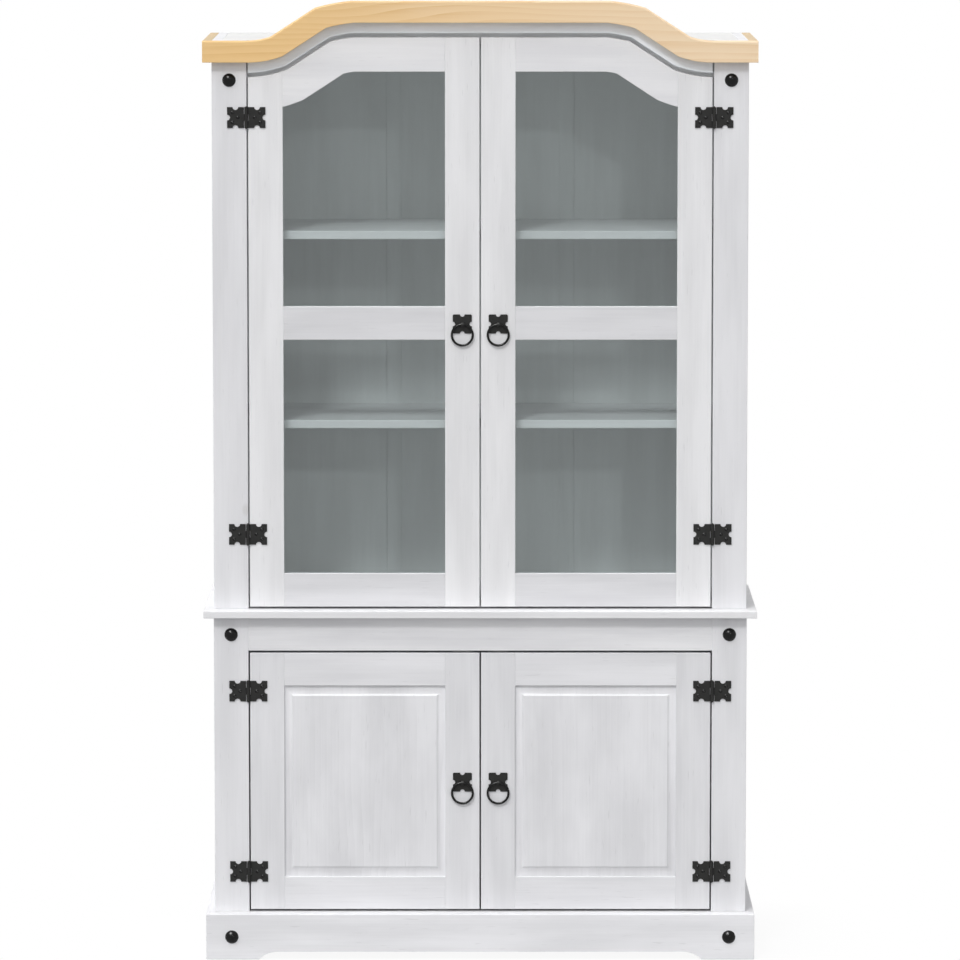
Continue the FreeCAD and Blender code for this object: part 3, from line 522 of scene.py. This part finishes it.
# Charcoal sheet iron, and near-black rod and castings with a small bright glint
sheet_iron = blacked_iron("blacked_sheet_iron", "#1C1C1B", "#2A2A29", rough=0.5, dent=3.5 * MM)
rod_iron = blacked_iron("blacked_rod_iron", "#080808", "#101010", rough=0.28, dent=6.0 * MM)
cast_iron = blacked_iron("blacked_cast_iron", "#040404", "#0A0A0A", rough=0.22, dent=9.0 * MM)
dress(sheet_iron, "hinge_post_leaves", "hinge_pins",
      *both_sides("hutch_%s_hinge_leaves", "base_%s_hinge_leaves"))
dress(sheet_iron, *both_sides("hutch_%s_pull_and_strike", "base_%s_pull_and_strike"))

# Dull white moulding with a fine pebbled skin
moulded, tree, shader = start_material("moulded_white_plastic")
place = add(tree, "ShaderNodeTexCoord").outputs["Object"]
speck = add(tree, "ShaderNodeTexNoise", {"Vector": place, "Scale": 1 / PEBBLE, "Detail": 2.0}).outputs[0]
matt = add(tree, "ShaderNodeMapRange", {"Value": speck, "To Min": 0.35, "To Max": 0.55}).outputs[0]
shell = add(tree, "ShaderNodeMix", {0: speck, 6: linear("#DADAD6"), 7: linear("#E6E6E2")},
            data_type="RGBA").outputs[2]
tree.links.new(matt, shader.inputs["Roughness"])
tree.links.new(shell, shader.inputs["Base Color"])
dress(moulded, "magnet_catches")
print("ironwork and catches dressed")

# %% [markdown]
# The knuckles, eyes, notches and arched edges come from the CAD model as flat facets. Their meshes stay as they
# are. Three modifiers shade the facets as one curve: the facets are joined, made smooth, and parted again wherever
# two meet at more than a shallow angle, so real corners stay sharp.

# %% Smooth rounds
CORNER = math.radians(33.0)
JOIN_GAP = 0.01 * MM
smooth_all = bpy.data.node_groups.new("smooth_all", "GeometryNodeTree")
for way in ("INPUT", "OUTPUT"):
    smooth_all.interface.new_socket("Geometry", in_out=way, socket_type="NodeSocketGeometry")
taken = add(smooth_all, "NodeGroupInput").outputs[0]
shaded = add(smooth_all, "GeometryNodeSetShadeSmooth", {0: taken}).outputs[0]
add(smooth_all, "NodeGroupOutput", {0: shaded})


def smooth_rounds(*names):
    """Join facets closer than a hundredth of a millimetre, smooth them all, and split at real corners."""
    for name in names:
        stack = bpy.data.objects[name].modifiers
        stack.new("join", "WELD").merge_threshold = JOIN_GAP
        stack.new("smooth", "NODES").node_group = smooth_all
        stack.new("corners", "EDGE_SPLIT").split_angle = CORNER


smooth_rounds("hinge_post_leaves", "hinge_pins", "cornice_front", "hutch_fascia", "hutch_stop_rail",
              "plinth_front",
              *both_sides("hutch_%s_hinge_leaves", "base_%s_hinge_leaves", "hutch_%s_pull_and_strike",
                          "base_%s_pull_and_strike", "hutch_%s_arched_rail", "base_%s_panel", "plinth_side_%s"))
print("corners kept above", round(math.degrees(CORNER)), "degrees")

# %% [markdown]
# The pull rings are bent from round rod and welded into a closed ring. The CAD ring is a plain facetted solid that
# the physics model needs. A torus is a circle carried round a circle, so the smooth one is worked out on a grid of
# two angles and takes the place of the solid.

# %% Pull rings
def show(name, points, faces, finish, body, slot="black_iron", smooth=True):
    """Put a piece into the scene, shaded smooth or flat, riding on its body."""
    mesh = bpy.data.meshes.new(name)
    mesh.from_pydata(points.tolist(), [], faces)
    mesh.polygons.foreach_set("use_smooth", np.full(len(faces), smooth))
    mesh.materials.append(finish)
    piece = bpy.data.objects.new(name, mesh)
    scene.collection.objects.link(piece)
    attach(piece, body)
    return piece


def rod_ring(centre, ring_radius, rod_radius, steps=96, sides=20):
    """Point = centre + (R + r cos b) outwards at angle a in the upright plane, and r sin b towards the back."""
    a = np.linspace(0.0, 2 * np.pi, steps, endpoint=False)[:, None]
    b = np.linspace(0.0, 2 * np.pi, sides, endpoint=False)[None, :]
    reach = ring_radius + rod_radius * np.cos(b)
    points = np.stack(np.broadcast_arrays(reach * np.cos(a), rod_radius * np.sin(b), reach * np.sin(a)), axis=-1)
    i, j = np.arange(steps)[:, None], np.arange(sides)[None, :]
    after_i, after_j = (i + 1) % steps, (j + 1) % sides
    faces = np.stack(np.broadcast_arrays(i * sides + j, i * sides + after_j,
                                         after_i * sides + after_j, after_i * sides + j), axis=-1)
    return points.reshape(-1, 3) + np.array(centre), faces.reshape(-1, 4).tolist()


for part in ("hutch", "base"):
    for side in ("left", "right"):
        node = f"{part}_{side}_ring"
        low, high = (np.array(corner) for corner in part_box(node))
        rod = (high[1] - low[1]) / 2
        points, faces = rod_ring((low + high) / 2, (high[2] - low[2]) / 2 - rod, rod)
        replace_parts(show(f"{node}_rod", points, faces, rod_iron, f"{part}_ring_{side}"), node)
print("rings of rod", round(2 * rod / MM, 2), "mm")

# %% [markdown]
# Studs and screws are turned pieces: a profile carried round an axis that points to the front. A stud is a cap of
# a sphere, and takes the place of the facetted CAD studs. All the pieces that move together are one mesh, made by
# shifting one piece to every place at once.

# %% Turned pieces
def turned(radii, heights):
    """Point = (radius cos a, -height, radius sin a) for row i of the profile and angle a of column j.

    The first and the last row lie on the axis and become single points, so the skin is closed.
    """
    rows, steps = heights.shape
    a = np.linspace(0.0, 2 * np.pi, steps, endpoint=False)
    grid = np.stack([radii * np.cos(a), -heights, radii * np.sin(a)], axis=-1)
    points = np.vstack([grid[0].mean(axis=0), grid[1:-1].reshape(-1, 3), grid[-1].mean(axis=0)])
    j = np.arange(steps)
    after = (j + 1) % steps
    row = 1 + steps * np.arange(rows - 3)[:, None]
    side = np.stack(np.broadcast_arrays(row + j, row + steps + j, row + steps + after, row + after), axis=-1)
    last = 1 + steps * (rows - 3)
    tip = np.stack([0 * j, 1 + j, 1 + after], axis=-1)
    base = np.stack([0 * j + len(points) - 1, last + after, last + j], axis=-1)
    return points, [tip, side.reshape(-1, 4), base]


def at_every(places, points, groups):
    """The same piece at every place, as one set of points and faces."""
    places = np.array(places)
    spread = (places[:, None, :] + points[None, :, :]).reshape(-1, 3)
    steps = np.arange(len(places))[:, None, None] * len(points)
    copies = [(group[None] + steps).reshape(-1, group.shape[1]) for group in groups]
    return spread, sum((group.tolist() for group in copies), [])


STUD_RADIUS = 13.6 * MM
STUD_HEIGHT = 9.0 * MM
STUD_STEPS = 48
STUD_RINGS = 17
STUD_X = 505.0 * MM
STUD_ROWS = (("hutch_post_right", 1784.0), ("base_post_right", 662.0), ("plinth_front", 46.5))
sphere = (STUD_RADIUS ** 2 + STUD_HEIGHT ** 2) / (2 * STUD_HEIGHT)
lean = np.linspace(0.0, math.asin(STUD_RADIUS / sphere), STUD_RINGS)
stud_radii = np.append(sphere * np.sin(lean), 0.0)[:, None] + np.zeros(STUD_STEPS)
stud_heights = np.append(STUD_HEIGHT - sphere * (1 - np.cos(lean)), 0.0)[:, None] + np.zeros(STUD_STEPS)
stud_places = [(x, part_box(node)[0].y, z * MM) for node, z in STUD_ROWS for x in (-STUD_X, STUD_X)]
studs = show("turned_studs", *at_every(stud_places, *turned(stud_radii, stud_heights)), cast_iron, "cabinet")
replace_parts(studs, "domed_studs")
print("studs:", len(stud_places))

# %% [markdown]
# A screw head is a low cone with a flat top and a cross pressed into it: its height at each angle is the cone's,
# less a dip that reaches further out along four arms. A bump in the iron's finish could draw the cross too, but
# the head would stay flat at its edge. Each leaf of a hinge has three screws, and those on a door go with the door.

# %% Hinge screws
HEAD_RADIUS = 3.4 * MM
HEAD_HEIGHT = 1.2 * MM
HEAD_SINK = 0.3 * MM
FLAT_TOP = 0.5
CROSS_REACH = 0.62
CROSS_DEPTH = 0.9 * MM
CROSS_HEART = 0.45
CROSS_POINT = 3
DIP_CURVE = 0.6
LEAF_T = 2.0 * MM
PIN_X = 470.5 * MM
LEAF_HOLES = np.array([(28.0, 9.8), (28.0, -9.8), (17.0, 0.0)]) * MM
HINGE_HEIGHTS = {"hutch": (864.5 * MM, 1709.0 * MM), "base": (175.5 * MM, 546.5 * MM)}


def screw_head(rows=9, steps=32):
    """Height over the leaf at radius r and angle a: flat to half way out, then a straight slope to the rim, less a
    cross dip that fades with r."""
    r = np.linspace(0.0, 1.0, rows)[:, None]
    a = np.linspace(0.0, 2 * np.pi, steps, endpoint=False)[None, :]
    arm = CROSS_REACH * (CROSS_HEART + (1.0 - CROSS_HEART) * np.abs(np.cos(2 * a)) ** CROSS_POINT)
    dip = CROSS_DEPTH * np.clip(1.0 - r / arm, 0.0, 1.0) ** DIP_CURVE
    heights = HEAD_HEIGHT * np.minimum(1.0, (1.0 - r) / (1.0 - FLAT_TOP)) - dip
    sunk = np.full((1, steps), -HEAD_SINK)
    radii = np.vstack([HEAD_RADIUS * r + 0 * a, HEAD_RADIUS + 0 * sunk, 0 * sunk])
    return turned(radii, np.vstack([heights, sunk, sunk]))


def leaf_places(part, side, outward):
    """The three screws of each leaf of one door's hinges, on the post's leaf (outward 1) or the door's (-1)."""
    sign = -1.0 if side == "left" else 1.0
    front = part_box(f"{part}_{side}_stiles")[0].y - LEAF_T
    return [(sign * (PIN_X + outward * hole[0]), front, height + hole[1])
            for height in HINGE_HEIGHTS[part] for hole in LEAF_HOLES]


post_places = []
for part in ("hutch", "base"):
    for side in ("left", "right"):
        post_places += leaf_places(part, side, 1)
        door_screws = at_every(leaf_places(part, side, -1), *screw_head())
        show(f"{part}_{side}_hinge_screws", *door_screws, cast_iron, f"{part}_door_{side}")
show("post_hinge_screws", *at_every(post_places, *screw_head()), cast_iron, "cabinet")
print("hinge screws:", 2 * len(post_places))

# %% [markdown]
# The hutch's back looks like three thin boards side by side: behind the glass two faint upright lines show where
# they would meet. They are made as narrow strips, painted over with the boards. A strip is half an ellipse carried
# upright. It stops at each shelf, so three lengths make up one line, and all six are one mesh. Its facets are too
# narrow to see, so they stay flat, and the square ends can't bend the shading.

# %% Back strips
STRIP_X = 179.0 * MM
STRIP_W = 31.0 * MM
STRIP_T = 1.2 * MM


def strip_line(back, spans, steps=13):
    """Point = (W/2 cos t, back - T sin t, z) for t from 0 to half a turn, at the two heights of each length."""
    t = np.linspace(0.0, np.pi, steps)
    heights = np.array(spans)[:, :, None]
    points = np.stack(np.broadcast_arrays(STRIP_W / 2 * np.cos(t), back - STRIP_T * np.sin(t), heights), axis=-1)
    i = np.arange(steps)
    after = (i + 1) % steps
    groups = [np.stack([i, i + steps, after + steps, after], axis=-1), i[None], (i + steps)[None, ::-1]]
    first = 2 * steps * np.arange(len(spans))[:, None, None]
    return points.reshape(-1, 3), [(group[None] + first).reshape(-1, group.shape[1]) for group in groups]


ledges = ("hutch_floor", "hutch_shelf_lower", "hutch_shelf_upper", "hutch_top")
spans = [(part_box(low)[1].z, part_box(high)[0].z) for low, high in zip(ledges, ledges[1:])]
strip_places = [(-STRIP_X, 0.0, 0.0), (STRIP_X, 0.0, 0.0)]
strips = at_every(strip_places, *strip_line(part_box("hutch_back")[0].y, spans))
show("back_strips", *strips, back_paint, "cabinet", "white_pine", smooth=False)
print("strips between", [(round(low, 3), round(high, 3)) for low, high in spans])
